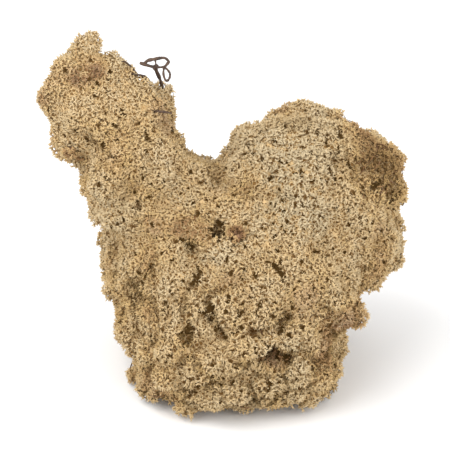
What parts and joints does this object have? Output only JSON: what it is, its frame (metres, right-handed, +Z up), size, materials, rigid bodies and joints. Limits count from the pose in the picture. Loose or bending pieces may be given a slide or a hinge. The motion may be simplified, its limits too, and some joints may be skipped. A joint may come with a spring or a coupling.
{
  "type": "reindeer lichen clump",
  "caption": "Pulled cushion of pale, bushy reindeer lichen with caught twig and bark bits, cut flat underneath so that it stands on a surface.",
  "frame": {"origin": "middle of the clump's bounding box on the flat cut that it rests on", "axes": "+Z up from the flat cut, +X towards the wide hump and away from the raised arm, -Y towards the side that is seen"},
  "size_m": [0.1011, 0.084, 0.093],
  "materials": {
    "dry_lichen": "matte",
    "dark_bark": "matte",
    "brown_bark": "matte"
  },
  "bodies": {
    "root": {"moss_cushion": "dry_lichen", "curly_twig": "dark_bark", "dry_stem": "dark_bark", "bark_flake": "brown_bark", "bark_crumb": "brown_bark"}
  },
  "joints": []
}
